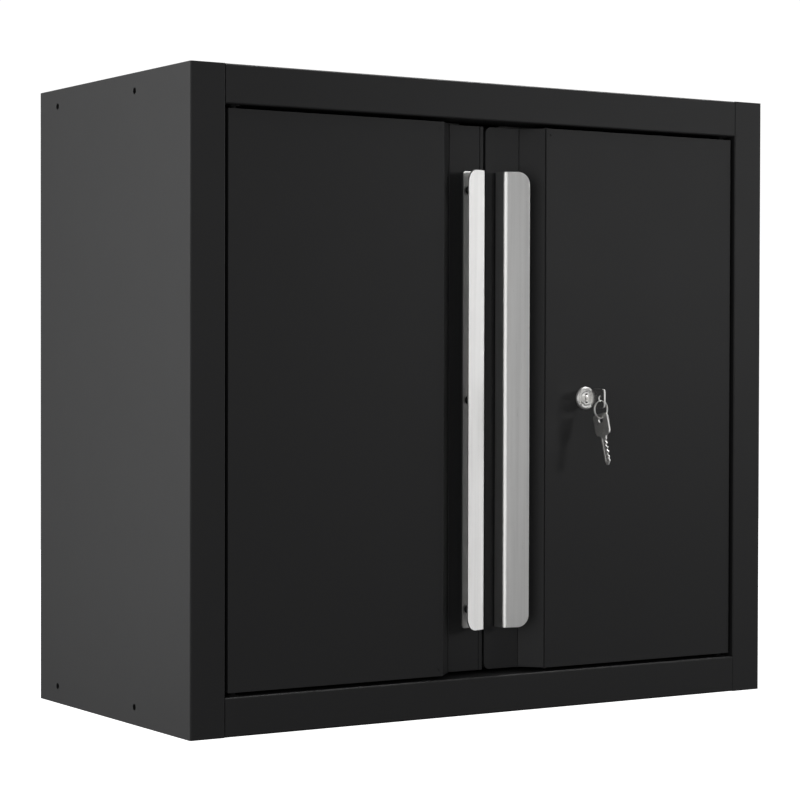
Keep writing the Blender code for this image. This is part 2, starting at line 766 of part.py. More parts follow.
def lock_cam(parent):
    """The plate on the plug's tail: two opposite pins reach forward into the rods' notches."""
    disc = cylinder((LOCK_X, FRONT + CAM_Y[0], 0), (LOCK_X, FRONT + CAM_Y[1], 0), CAM_RADIUS, 20)
    made = piece("lock_cam", disc, "zinc_plate", parent)
    arm = box(-Vector(CAM_ARM_HALF), CAM_ARM_HALF)
    bmesh.ops.transform(arm, verts=arm.verts, matrix=Matrix.Translation((LOCK_X, FRONT + sum(CAM_Y) / 2, 0))
                        @ Matrix.Rotation(math.radians(45), 4, "Y"))
    boolean(made, helper("cam_arm", arm), "UNION")
    pins = bmesh.new()
    for reach in both(CAM_PIN_RADIUS * math.cos(math.radians(45))):
        add_cylinder(pins, (LOCK_X + reach, FRONT + CAM_PIN_Y[0], -reach),
                     (LOCK_X + reach, FRONT + CAM_PIN_Y[1], -reach), CAM_PIN, 12)
    boolean(made, helper("cam_pins", pins), "UNION")
    hole = cylinder((LOCK_X, FRONT + 0.030, 0), (LOCK_X, FRONT + 0.040, 0), TAIL_RADIUS + GAP, 24)
    boolean(made, helper("cam_hole", hole))


def cam_screw(parent):
    profile = [
        (0, -0.0058),
        (0.0015, -0.0058),
        (0.0015, 0),
        (0.0055, 0),
        (0.0055, 0.0014),
        (0.0035, 0.0024),
        (0, 0.0026),
    ]
    away = Matrix.Rotation(math.radians(-90), 4, "X")
    turned("cam_screw", profile[::-1], (LOCK_X, FRONT + CAM_SCREW_SEAT, 0), "zinc_plate", parent, steps=14, axis_turn=away)


def lock_rod(level, parent):
    """A flat rod with a notch for its cam pin. The upper one passes right of the plug, the lower one left."""
    x = ordered(LOCK_X + level * ROD_NEAR, LOCK_X + level * ROD_FAR)
    z = ordered(-level * ROD_FOOT, level * (DOOR_HALF_HEIGHT - 0.0005))
    flat = box((x[0], FRONT + ROD_Y, z[0]), (x[1], FRONT + ROD_Y + ROD_SHEET, z[1]))
    made = piece(f"rod_{'upper' if level > 0 else 'lower'}", flat, "zinc_plate", parent)
    pin_z = -level * CAM_PIN_RADIUS * math.sin(math.radians(45))
    notch_x = ordered(LOCK_X + level * (ROD_NEAR - 0.003), LOCK_X + level * (CAM_PIN_RADIUS + 0.0026))
    notch = box((notch_x[0], FRONT + 0.028, pin_z - ROD_NOTCH_HALF),
                (notch_x[1], FRONT + 0.035, pin_z + ROD_NOTCH_HALF))
    boolean(made, helper(f"{made.name}_notch", notch))


# ---------------------------------------------------------------- keys


def key_blank(name, place, parent, slotted):
    """A flat key whose hole is at its local origin and whose blade points down its local -Z."""
    outline = [
        (-KEY_HALF + 0.003, KEY_TOP),
        (-KEY_HALF, KEY_TOP - 0.003),
        (-KEY_HALF, KEY_FOOT + 0.004),
        (-KEY_HALF + 0.004, KEY_FOOT),
        (-KEY_BLADE, KEY_FOOT),
        (-KEY_BLADE, KEY_TIP + 0.004),
        (-0.0015, KEY_TIP),
        (0.0005, KEY_TIP),
        (0.003, KEY_TIP + 0.0035),
        (0.003, KEY_TIP + 0.012),
        (0.0022, KEY_TIP + 0.013),
        (0.0022, KEY_TIP + 0.019),
        (KEY_BLADE, KEY_TIP + 0.0205),
        (KEY_BLADE, KEY_FOOT),
        (KEY_HALF - 0.004, KEY_FOOT),
        (KEY_HALF, KEY_FOOT + 0.004),
        (KEY_HALF, KEY_TOP - 0.003),
        (KEY_HALF - 0.003, KEY_TOP),
    ]
    made = piece(name, extruded(outline, "X", *both(KEY_SHEET / 2)), "bright_nickel", parent)
    cuts = bmesh.new()
    add_cylinder(cuts, (-0.005, 0, 0), (0.005, 0, 0), KEY_HOLE / 2, 16)
    if slotted:
        add_box(cuts, (-0.005, -0.0012, -0.0125), (0.005, 0.0012, -0.0055))
    cutter = helper(f"{name}_holes", cuts)
    boolean(made, cutter)
    made.matrix_basis = place
    cutter.matrix_basis = place


def key_ring(parent):
    """A wire ring through the key's hole."""
    bm = bmesh.new()
    upright = Matrix.Rotation(math.radians(90), 4, "X")
    bmesh.ops.create_circle(bm, radius=RING_WIRE, segments=8, matrix=Matrix.Translation((RING_RADIUS, 0, 0)) @ upright)
    made = piece("key_ring", bm, "bright_nickel", parent, smooth=True)
    screw = made.modifiers.new("turn", "SCREW")
    screw.axis = "Z"
    screw.steps = 28
    screw.render_steps = 28
    screw.use_merge_vertices = True
    screw.merge_threshold = 0.00001
    made.matrix_basis = (Matrix.Translation((LOCK_X, KEY_HOLE_Y, WIRE_Z - RING_RADIUS))
                         @ Matrix.Rotation(RING_TURN, 4, "Z") @ Matrix.Rotation(math.radians(90), 4, "X"))


def keys(core):
    """The key in the lock, the ring in its hole, and the spare key that hangs from the ring."""
    held = pivot("key_pivot", (LOCK_X, KEY_HOLE_Y, 0), core)
    inserted = Matrix.Translation((LOCK_X, KEY_HOLE_Y, 0)) @ Matrix.Rotation(math.radians(90), 4, "X")
    key_blank("key", inserted, held, slotted=False)
    ring_pivot = pivot("key_ring_pivot", (LOCK_X, KEY_HOLE_Y, WIRE_Z), held)
    key_ring(ring_pivot)
    wire_low = (LOCK_X, KEY_HOLE_Y, WIRE_Z - 2 * RING_RADIUS)
    spare_pivot = pivot("spare_key_pivot", wire_low, ring_pivot)
    hanging = (Matrix.Translation(wire_low) @ Matrix.Rotation(RING_TURN, 4, "Z")
               @ Matrix.Rotation(SPARE_TILT, 4, "X") @ Matrix.Translation((0, 0, WIRE_Z)))
    key_blank("spare_key", hanging, spare_pivot, slotted=True)


def carcass():
    side_holes = {side: side_hole_cutter(side) for side in (-1, 1)}
    wall_holes = wall_hole_cutter()
    for side in (-1, 1):
        side_panel(side, side_holes[side])
    for level in (-1, 1):
        end_panel(level, side_holes.values(), lip_cutter(level))
        hanging_rail(level, wall_holes)
    back_panel(wall_holes)
    for side in (-1, 1):
        for place, y in zip(("front", "rear"), UPRIGHT_Y):
            shelf_upright(side, place, y)
            shelf_clip(side, place, y)
        for level in (-1, 1):
            hinge_bushing(side, level)
        magnetic_catch(side)


def main():
    carcass()
    shelf(pivot("shelf_pivot", (0, SHELF_FRONT, 0)))
    door(-1)
    right = door(1)
    lock_housing(right)
    lock_nut(right)
    core = pivot("lock_pivot", (LOCK_X, FRONT, 0), right)
    lock_plug(core)
    lock_cam(core)
    cam_screw(core)
    for level in (-1, 1):
        rod_guide(level, right)
        name = f"rod_{'upper' if level > 0 else 'lower'}_pivot"
        lock_rod(level, pivot(name, (LOCK_X, FRONT + ROD_Y + ROD_SHEET / 2, 0), right))
    keys(core)


main()
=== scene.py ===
"""The looks of the hanging wall cabinet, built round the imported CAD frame. Metres, +Z up, doors face -Y."""

import json
import math

import bmesh
import bpy
from mathutils import Matrix, Vector


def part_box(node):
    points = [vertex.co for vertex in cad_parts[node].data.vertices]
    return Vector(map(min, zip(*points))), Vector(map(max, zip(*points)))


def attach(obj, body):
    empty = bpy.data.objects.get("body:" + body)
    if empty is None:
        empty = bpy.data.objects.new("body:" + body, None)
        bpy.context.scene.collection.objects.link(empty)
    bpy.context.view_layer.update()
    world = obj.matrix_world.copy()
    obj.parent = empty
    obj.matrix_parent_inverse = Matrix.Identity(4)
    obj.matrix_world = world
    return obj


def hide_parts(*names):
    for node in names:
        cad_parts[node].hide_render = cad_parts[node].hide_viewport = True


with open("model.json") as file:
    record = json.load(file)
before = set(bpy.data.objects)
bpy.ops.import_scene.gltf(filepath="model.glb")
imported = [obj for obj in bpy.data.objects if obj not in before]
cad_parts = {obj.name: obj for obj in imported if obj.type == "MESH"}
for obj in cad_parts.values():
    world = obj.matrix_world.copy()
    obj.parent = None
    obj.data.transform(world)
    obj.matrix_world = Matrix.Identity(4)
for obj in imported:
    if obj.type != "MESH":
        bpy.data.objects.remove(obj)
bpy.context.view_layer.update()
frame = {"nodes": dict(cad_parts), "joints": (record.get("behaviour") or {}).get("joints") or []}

# Sizes read from the frame
HALF_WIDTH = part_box("side_panel_right")[1].x
OPENING_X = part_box("side_panel_right")[0].x
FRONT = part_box("side_panel_right")[0].y
SIDE_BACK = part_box("side_panel_right")[1].y
HALF_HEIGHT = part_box("side_panel_right")[1].z
OPENING_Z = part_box("top_panel")[0].z
DOOR_HINGE_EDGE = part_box("door_right_skin")[1].x
DOOR_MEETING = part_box("door_right_skin")[0].x
DOOR_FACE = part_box("door_right_skin")[0].y
DOOR_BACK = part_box("door_right_skin")[1].y
DOOR_HALF_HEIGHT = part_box("door_right_skin")[1].z
HINGE_X = sum(corner.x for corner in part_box("hinge_pin_right_top")) / 2
HINGE_Y = sum(corner.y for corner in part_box("hinge_pin_right_top")) / 2
HANDLE_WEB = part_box("handle_right")[0].x
HANDLE_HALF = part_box("handle_right")[1].z
HANDLE_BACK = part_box("handle_right")[1].y
SCREW_X = sum(corner.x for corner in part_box("handle_right_screw_2")) / 2
SCREW_SEAT = HANDLE_BACK - 0.0018
HANDLE_DROP = 0.0012
SCREW_Z = [sum(c.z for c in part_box(f"handle_right_screw_{i}")) / 2 - HANDLE_DROP for i in (1, 2, 3)]
LOCK_X = sum(corner.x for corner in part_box("lock_housing")) / 2
BEZEL_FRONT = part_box("lock_housing")[0].y
BEZEL_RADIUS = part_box("lock_housing")[1].z
RING = next(joint for joint in frame["joints"] if joint["name"] == "key_ring_swing")
SPARE = next(joint for joint in frame["joints"] if joint["name"] == "spare_key_swing")
WIRE_TOP = Vector(RING["pos_m"])
WIRE_LOW = Vector(SPARE["pos_m"])
RING_TURN = math.atan2(RING["axis"][1], RING["axis"][0]) + math.pi

# Sizes of the sheet and its folds
SHEET = 0.0010
HANDLE_SHEET = 0.0015
GAP = 0.0003
BEND = 0.0018
STILE_RETURN = 0.016
RAIL_LIP = 0.040
SEAM = 0.0003
SEAM_BEND = 0.0012
BACK_FLANGE = 0.020
LIP_RETURN = 0.012
END_FLANGE = 0.034
END_FLANGE_FRONT = 0.045
END_FLANGE_BACK = 0.008
SIDE_HOLE_Y = (FRONT + 0.112, FRONT + 0.282)
SIDE_HOLE_INSET = 0.0167
SIDE_HOLE_RADIUS = 0.003
STUD_HALF = 0.2032
WALL_HOLE_Z = 0.245
WALL_HOLE_RADIUS = 0.004
BUSHING_HOLE = 0.005
EDGE = 0.00018
RECESS_FLOOR = FRONT + 0.022
SLOPE_TOP = 0.060
SLOPE_FOOT = 0.041
HANDLE_FLANGE = 0.0253
HANDLE_BEND_Y = FRONT + 0.0035
GRIP_EDGE = (0.0354, FRONT - 0.0043)
GRIP_CORNER = 0.012
CREASE = 0.0010
GROOVE_INSET = 0.0042
GROOVE_HALF = 0.0006
MEETING_CORNER = 0.0062
DOOR_BEND = 0.0012
PIN_HOLE = 0.0033
LOCK_HOLE = 0.0093

# Sizes of the handles' bends, trim and screws
HANDLE_BEND = 0.0042
HANDLE_TRIM = 0.0006
FLANGE_CORNER = 0.0025
SCREW_HOLE = 0.0023
SCREW_HEAD = 0.0040
SCREW_HEAD_HEIGHT = 0.0019
SCREW_SHANK = 0.0020
SCREW_LENGTH = 0.006
CROSS_LONG = 0.0021
CROSS_THIN = 0.0004
CROSS_FLOOR = 0.0011

# Sizes of the lock and the keys
PLUG_RADIUS = 0.0068
TAIL_RADIUS = 0.004
KEYWAY_HALF = (0.00135, 0.0046)
KEY_HALF_THICKNESS = 0.001
KEY_HOLE_RADIUS = 0.003
RING_RADIUS = 0.0087
RING_WIRE = 0.00048
RING_TURNS = 1.9
RING_STEPS = 110
SPARE_TILT = math.radians(-13)


# ---------------------------------------------------------------- mesh tools


def both(value):
    return (-value, value)


def word(side):
    return "left" if side < 0 else "right"


def ordered(a, b):
    return (a, b) if a < b else (b, a)


def add_box(bm, low, high):
    low, high = Vector(low), Vector(high)
    for vert in bmesh.ops.create_cube(bm, size=1.0)["verts"]:
        vert.co = Vector([low[i] + (vert.co[i] + 0.5) * (high[i] - low[i]) for i in range(3)])


def add_cylinder(bm, start, end, radius, steps=32):
    start, end = Vector(start), Vector(end)
    along = end - start
    place = Matrix.Translation((start + end) / 2) @ along.to_track_quat("Z", "Y").to_matrix().to_4x4()
    bmesh.ops.create_cone(bm, cap_ends=True, segments=steps, radius1=radius, radius2=radius,
                          depth=along.length, matrix=place)


def object_of(name, bm):
    mesh = bpy.data.meshes.new(name)
    bm.to_mesh(mesh)
    bm.free()
    made = bpy.data.objects.new(name, mesh)
    bpy.context.scene.collection.objects.link(made)
    return made


def rounded(points, radius, steps=8):
    """The open outline through the points, with each corner between its ends turned into an arc."""
    radii = radius if isinstance(radius, (list, tuple)) else [radius] * (len(points) - 2)
    out = [Vector(points[0])]
    for before, corner, after, bend in zip(points, points[1:], points[2:], radii):
        corner = Vector(corner)
        arrive = (corner - Vector(before)).normalized()
        leave = (Vector(after) - corner).normalized()
        turn = -arrive.angle_signed(leave)
        spoke = Vector((arrive.y, -arrive.x)) * math.copysign(bend, turn)
        start = corner - arrive * bend * math.tan(abs(turn) / 2)
        for step in range(steps + 1):
            out.append(start - spoke + Matrix.Rotation(turn * step / steps, 2) @ spoke)
    out.append(Vector(points[-1]))
    return out


def strip(points, axis, low, high):
    """The open surface that an outline sweeps along X or Z. Its normals face right of the outline."""
    def place(p, t):
        return Vector((t, p[0], p[1])) if axis == "X" else Vector((p[0], p[1], t))

    bm = bmesh.new()
    verts = [bm.verts.new(place(point, low)) for point in points]
    edges = [bm.edges.new(pair) for pair in zip(verts, verts[1:])]
    swept = bmesh.ops.extrude_edge_only(bm, edges=edges)["geom"]
    ends = [item for item in swept if isinstance(item, bmesh.types.BMVert)]
    bmesh.ops.translate(bm, verts=ends, vec=place((0, 0), high) - place((0, 0), low))
    bm.normal_update()
    first = (Vector(points[1]) - Vector(points[0])).normalized()
    if edges[0].link_faces[0].normal.dot(place((first.y, -first.x), 0)) < 0:
        bmesh.ops.reverse_faces(bm, faces=bm.faces)
    return bm


def extruded(outline, axis, low, high):
    """The closed prism of a flat outline along an axis."""
    bm = strip(list(outline) + [outline[0]], axis, low, high)
    bmesh.ops.remove_doubles(bm, verts=bm.verts, dist=1e-6)
    bmesh.ops.holes_fill(bm, edges=[edge for edge in bm.edges if edge.is_boundary])
    bmesh.ops.recalc_face_normals(bm, faces=bm.faces)
    return bm


def revolved(profile, steps=64, looped=False):
    """A profile of (radius, height) points turned round Z. A closed profile makes a ring."""
    bm = bmesh.new()
    verts = [bm.verts.new((radius, 0, height)) for radius, height in profile]
    edges = [bm.edges.new(pair) for pair in zip(verts, verts[1:])]
    if looped:
        edges.append(bm.edges.new((verts[-1], verts[0])))
    bmesh.ops.spin(bm, geom=verts + edges, cent=(0, 0, 0), axis=(0, 0, 1), angle=math.tau, steps=steps,
                   use_merge=True)
    bmesh.ops.remove_doubles(bm, verts=bm.verts, dist=1e-6)
    bmesh.ops.recalc_face_normals(bm, faces=bm.faces)
    return bm


def solidify(made, thickness, inward):
    modifier = made.modifiers.new("sheet", "SOLIDIFY")
    modifier.thickness = thickness
    modifier.offset = -1.0 if inward else 1.0
    modifier.use_even_offset = True


def boolean(made, bm, operation="DIFFERENCE"):
    """Cut or join a bmesh's shapes, which don't overlap one another, and bake the result."""
    other = object_of(f"{made.name}_tool", bm)
    modifier = made.modifiers.new("boolean", "BOOLEAN")
    modifier.operation = operation
    modifier.solver = "EXACT"
    modifier.object = other
    bake(made)
    bpy.data.objects.remove(other, do_unlink=True)


def bevel(made, width, segments=2, angle=35):
    modifier = made.modifiers.new("edges", "BEVEL")
    modifier.width = width
    modifier.segments = segments
    modifier.limit_method = "ANGLE"
    modifier.angle_limit = math.radians(angle)


def bake(made):
    """Turn the evaluated shape into the object's own mesh."""
    bpy.context.view_layer.update()
    graph = bpy.context.evaluated_depsgraph_get()
    mesh = bpy.data.meshes.new_from_object(made.evaluated_get(graph))
    made.modifiers.clear()
    old = made.data
    made.data = mesh
    bpy.data.meshes.remove(old)


def smooth(made, angle=32):
    made.data.shade_smooth()
    made.data.set_sharp_from_angle(angle=math.radians(angle))
    weighted = made.modifiers.new("flat_faces_first", "WEIGHTED_NORMAL")
    weighted.keep_sharp = True


def piece(made, body, nodes, material, edge=EDGE, segments=2):
    """Round the sharp edges, shade, paint, and hang the piece on its CAD body in place of the nodes."""
    if edge:
        bevel(made, edge, segments)
    if made.modifiers:
        bake(made)
    smooth(made)
    made.data.materials.clear()
    made.data.materials.append(material)
    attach(made, body)
    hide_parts(*nodes)
    return made


def bent_sheet(name, points, axis, low, high, radius=BEND, sheet=SHEET, left=True):
    made = object_of(name, strip(rounded(points, radius), axis, low, high))
    solidify(made, sheet, inward=left)
    bake(made)
    return made


# ---------------------------------------------------------------- materials


class Shader:
    """A node material under construction."""

    def __init__(self, name, **values):
        self.material = bpy.data.materials.new(name)
        self.material.use_nodes = True
        self.tree = self.material.node_tree
        self.bsdf = self.tree.nodes["Principled BSDF"]
        for socket, value in values.items():
            self.bsdf.inputs[socket.replace("_", " ")].default_value = value
        self.place = self.tree.nodes.new("ShaderNodeTexCoord").outputs["Object"]

    def link(self, start, end):
        self.tree.links.new(start, end)

    def stretched(self, scale):
        mapping = self.tree.nodes.new("ShaderNodeMapping")
        mapping.inputs["Scale"].default_value = scale
        self.link(self.place, mapping.inputs["Vector"])
        return mapping.outputs["Vector"]

    def noise(self, scale, detail=3.0, roughness=0.55, stretch=(1, 1, 1)):
        texture = self.tree.nodes.new("ShaderNodeTexNoise")
        texture.inputs["Scale"].default_value = scale
        texture.inputs["Detail"].default_value = detail
        texture.inputs["Roughness"].default_value = roughness
        self.link(self.stretched(stretch), texture.inputs["Vector"])
        return texture.outputs["Fac"]

    def ranged(self, factor, low, high, start=0.3, end=0.7):
        node = self.tree.nodes.new("ShaderNodeMapRange")
        node.inputs["From Min"].default_value = start
        node.inputs["From Max"].default_value = end
        node.inputs["To Min"].default_value = low
        node.inputs["To Max"].default_value = high
        self.link(factor, node.inputs["Value"])
        return node.outputs["Result"]

    def colours(self, factor, dark, light):
        mix = self.tree.nodes.new("ShaderNodeMix")
        mix.data_type = "RGBA"
        mix.inputs["A"].default_value = (*dark, 1)
        mix.inputs["B"].default_value = (*light, 1)
        self.link(self.ranged(factor, 0, 1), mix.inputs["Factor"])
        self.link(mix.outputs["Result"], self.bsdf.inputs["Base Color"])

    def bump(self, height, distance, strength=1.0, under=None):
        node = self.tree.nodes.new("ShaderNodeBump")
        node.inputs["Distance"].default_value = distance
        node.inputs["Strength"].default_value = strength
        self.link(height, node.inputs["Height"])
        if under:
            self.link(under, node.inputs["Normal"])
        self.link(node.outputs["Normal"], self.bsdf.inputs["Normal"])
        return node.outputs["Normal"]

    def rough(self, factor, low, high):
        self.link(self.ranged(factor, low, high), self.bsdf.inputs["Roughness"])


def powder_coat(name="powder_coat", dark=(0.0200, 0.0200, 0.0207), light=(0.0210, 0.0210, 0.0218)):
    """Semi-gloss black powder coat: a fine orange peel over slow changes of tone and gloss."""
    paint = Shader(name, IOR=1.45, Specular_IOR_Level=0.36)
    slow = paint.noise(7, 4)
    paint.colours(slow, dark, light)
    paint.rough(paint.noise(23, 3), 0.472, 0.488)
    peel = paint.bump(paint.noise(420, 2, 0.4), 0.00006, 0.5)
    paint.bump(paint.noise(2300, 1, 0.5), 0.00002, 0.35, under=peel)
    return paint.material


def brushed_steel():
    """Stainless steel brushed along the handle's length."""
    steel = Shader("brushed_stainless", Metallic=1.0, Anisotropic=0.35)
    grain = steel.noise(1.0, 6, 0.7, stretch=(3600, 3600, 26))
    steel.colours(steel.noise(1.0, 3, stretch=(260, 260, 5)), (0.83, 0.825, 0.815), (0.92, 0.915, 0.905))
    steel.rough(grain, 0.27, 0.42)
    steel.bump(grain, 0.000012, 0.45)
    return steel.material


def nickel(name, smoothest, roughest):
    """Bright nickel plate with a trace of handling marks."""
    plate = Shader(name, Metallic=1.0)
    plate.colours(plate.noise(160, 3), (0.86, 0.85, 0.83), (0.93, 0.92, 0.90))
    plate.rough(plate.noise(420, 4), smoothest, roughest)
    plate.bump(plate.noise(700, 2), 0.000008, 0.2)
    return plate.material


def satin_nickel():
    """Satin nickel: the lock, the ring, and the keys' rims, softer than the keys' faces; its brighter colour
    on the keys' rims is a painted edge highlight.
    """
    plate = Shader("satin_nickel", Metallic=1.0)
    plate.colours(plate.noise(260, 3), (0.90, 0.89, 0.87), (0.97, 0.965, 0.95))
    plate.rough(plate.noise(420, 4), 0.46, 0.54)
    plate.bump(plate.noise(700, 2), 0.000008, 0.2)
    return plate.material


def zinc():
    """Zinc plate, slightly clouded."""
    plate = Shader("zinc_plate", Metallic=1.0)
    plate.colours(plate.noise(70, 5), (0.42, 0.43, 0.44), (0.58, 0.59, 0.60))
    plate.rough(plate.noise(210, 4), 0.28, 0.44)
    plate.bump(plate.noise(1300, 2), 0.00002, 0.4)
    return plate.material


def dark_zinc():
    plate = Shader("black_zinc", Metallic=0.7)
    plate.colours(plate.noise(420, 3), (0.008, 0.008, 0.008), (0.020, 0.020, 0.020))
    plate.rough(plate.noise(900, 3), 0.30, 0.45)
    plate.bump(plate.noise(2600, 2), 0.00002, 0.4)
    return plate.material


def moulded(name, dark, light, specular=0.5):
    """Moulded plastic with a fine spark-eroded grain."""
    plastic = Shader(name, IOR=1.48, Specular_IOR_Level=specular)
    plastic.colours(plastic.noise(60, 3), dark, light)
    plastic.rough(plastic.noise(300, 3), 0.42, 0.56)
    plastic.bump(plastic.noise(3000, 2), 0.00003, 0.5)
    return plastic.material


PAINT = powder_coat()
STEEL = brushed_steel()
NICKEL = nickel("bright_nickel", 0.27, 0.33)
POLISHED = nickel("polished_nickel", 0.15, 0.21)
SATIN = satin_nickel()
ZINC = zinc()
SCREW_BLACK = dark_zinc()
# The bushings are black nylon, made darker and duller still as painted shade for the dark hinge gaps; the
# pins' black is painted shade for the same gaps.
NYLON_AND_PAINTED_SHADE = moulded("black_nylon_and_painted_shade", (0.004, 0.004, 0.004), (0.007, 0.007, 0.007), specular=0.08)
PIN_PAINTED_SHADE = moulded("pin_painted_shade_black", (0.004, 0.004, 0.004), (0.007, 0.007, 0.007), specular=0.12)
PLASTIC = moulded("black_plastic", (0.012, 0.012, 0.012), (0.022, 0.022, 0.022))
MAGNET = moulded("ferrite_magnet", (0.020, 0.020, 0.021), (0.034, 0.034, 0.035))


# ---------------------------------------------------------------- carcass


def side_panel(side):
    outer = side * HALF_WIDTH
    path = [
        (outer - side * BACK_FLANGE, SIDE_BACK),
        (outer, SIDE_BACK),
        (outer, FRONT),
        (side * OPENING_X, FRONT),
        (side * OPENING_X, FRONT + STILE_RETURN),
    ]
    bends = (BEND, BEND, SEAM_BEND)
    made = bent_sheet(f"side_shell_{word(side)}", path, "Z", *both(HALF_HEIGHT), bends, left=side < 0)
    cuts = bmesh.new()
    corner = SHEET + GAP
    for z in both(HALF_HEIGHT):
        x = ordered(outer - side * corner, side * (OPENING_X - 0.002))
        zs = (z - corner, z + 0.01) if z > 0 else (z - 0.01, z + corner)
        add_box(cuts, (x[0], FRONT + corner, zs[0]), (x[1], FRONT + 0.03, zs[1]))
        add_box(cuts, (x[0], -0.02, zs[0]), (x[1], 0.01, zs[1]))
        for y in SIDE_HOLE_Y:
            hole_z = z - math.copysign(SIDE_HOLE_INSET, z)
            add_cylinder(cuts, (side * 0.320, y, hole_z), (side * 0.340, y, hole_z), SIDE_HOLE_RADIUS)
    boolean(made, cuts)
    piece(made, "carcass", [f"side_panel_{word(side)}"], PAINT)


def end_panel(level):
    name = "top_panel" if level > 0 else "bottom_panel"
    outer = level * HALF_HEIGHT
    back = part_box(name)[1].y
    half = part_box(name)[1].x
    path = [
        (back, outer - level * BACK_FLANGE),
        (back, outer),
        (FRONT, outer),
        (FRONT, level * OPENING_Z),
        (FRONT + RAIL_LIP, level * OPENING_Z),
        (FRONT + RAIL_LIP, level * (OPENING_Z + LIP_RETURN)),
    ]
    made = bent_sheet(f"{name}_shell", path, "X", *both(half), left=level > 0)
    flanges = bmesh.new()
    for side in (-1, 1):
        x = ordered(side * half, side * (half - SHEET))
        z = ordered(outer - level * 0.0004, outer - level * END_FLANGE)
        add_box(flanges, (x[0], FRONT + END_FLANGE_FRONT, z[0]), (x[1], -END_FLANGE_BACK, z[1]))
    boolean(made, flanges, "UNION")
    stiles = bmesh.new()
    lips = bmesh.new()
    for side in (-1, 1):
        x = ordered(side * (OPENING_X - SEAM), side * 0.345)
        z = ordered(level * (OPENING_Z - 0.01), outer - level * (SHEET + GAP))
        add_box(stiles, (x[0], FRONT - 0.01, -0.31), (x[1], FRONT + SHEET + GAP, 0.31))
        add_box(lips, (x[0], FRONT - 0.01, z[0]), (x[1], FRONT + RAIL_LIP + 0.001, z[1]))
    boolean(made, stiles)
    boolean(made, lips)
    holes = bmesh.new()
    zs = ordered(level * (OPENING_Z - 0.004), level * (OPENING_Z + 0.008))
    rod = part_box("rod_upper" if level > 0 else "rod_lower")
    for side in (-1, 1):
        add_cylinder(holes, (side * HINGE_X, HINGE_Y, zs[0]), (side * HINGE_X, HINGE_Y, zs[1]), BUSHING_HOLE)
        for y in SIDE_HOLE_Y:
            z = outer - level * SIDE_HOLE_INSET
            add_cylinder(holes, (side * 0.320, y, z), (side * 0.340, y, z), SIDE_HOLE_RADIUS)
    add_box(holes, (rod[0].x - 0.003, rod[0].y - 0.0018, zs[0]), (rod[1].x + 0.003, rod[1].y + 0.0022, zs[1]))
    boolean(made, holes)
    piece(made, "carcass", [name], PAINT)


def back_panel():
    low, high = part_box("back_panel")
    bm = bmesh.new()
    add_box(bm, low, high)
    made = object_of("back_sheet", bm)
    holes = bmesh.new()
    for x in both(STUD_HALF):
        for z in both(WALL_HOLE_Z):
            add_cylinder(holes, (x, -0.030, z), (x, 0.010, z), WALL_HOLE_RADIUS)
    boolean(made, holes)
    piece(made, "carcass", ["back_panel"], PAINT)


# ---------------------------------------------------------------- doors


def door_skin(side):
    down = (Vector((SLOPE_FOOT, RECESS_FLOOR)) - Vector((SLOPE_TOP, DOOR_FACE))).normalized()
    inward = Vector((-down.y, down.x))
    near_top = Vector((SLOPE_TOP, DOOR_FACE)) + down * 0.0010
    near_foot = Vector((SLOPE_FOOT, RECESS_FLOOR)) - down * 0.0005
    outline = [
        (DOOR_HINGE_EDGE, DOOR_BACK),
        (DOOR_HINGE_EDGE, DOOR_FACE),
        (SLOPE_TOP, DOOR_FACE),
        near_top,
        near_top + down * 0.0004 - inward * CREASE,
        near_top + down * 0.0008,
        near_foot,
        (SLOPE_FOOT - 0.0001, RECESS_FLOOR + CREASE),
        (SLOPE_FOOT - 0.0006, RECESS_FLOOR),
    ]
    if side < 0:
        groove = DOOR_MEETING + GROOVE_INSET
        outline += [
            (groove + GROOVE_HALF, RECESS_FLOOR),
            (groove, RECESS_FLOOR + CREASE),
            (groove - GROOVE_HALF, RECESS_FLOOR),
        ]
    outline += [(DOOR_MEETING, RECESS_FLOOR), (DOOR_MEETING, DOOR_BACK)]
    bm = extruded([(side * x, y) for x, y in outline], "Z", *both(DOOR_HALF_HEIGHT))
    if side > 0:
        corners = [
            edge for edge in bm.edges
            if all(abs(vert.co.x - side * DOOR_MEETING) < 1e-5 for vert in edge.verts)
            and abs(edge.verts[0].co.z - edge.verts[1].co.z) < 1e-6
        ]
        bmesh.ops.bevel(bm, geom=corners, offset=MEETING_CORNER, segments=10, profile=0.5, affect="EDGES")
    bm.normal_update()
    back = [face for face in bm.faces if face.normal.y > 0.99]
    bmesh.ops.delete(bm, geom=back, context="FACES")
    made = object_of(f"door_shell_{word(side)}", bm)
    bevel(made, DOOR_BEND, 4, angle=60)
    bake(made)
    solidify(made, SHEET, inward=True)
    bake(made)
    holes = bmesh.new()
    for z in both(DOOR_HALF_HEIGHT):
        x = side * HINGE_X
        add_cylinder(holes, (x, HINGE_Y, z - 0.004), (x, HINGE_Y, z + 0.004), PIN_HOLE)
    for z in SCREW_Z:
        x = side * SCREW_X
        add_cylinder(holes, (x, FRONT + 0.015, z), (x, FRONT + 0.0245, z), SCREW_HOLE)
    if side > 0:
        add_cylinder(holes, (LOCK_X, FRONT - 0.005, 0), (LOCK_X, FRONT + 0.008, 0), LOCK_HOLE, 48)
    boolean(made, holes)
    piece(made, f"door_{word(side)}", [f"door_{word(side)}_skin"], PAINT)


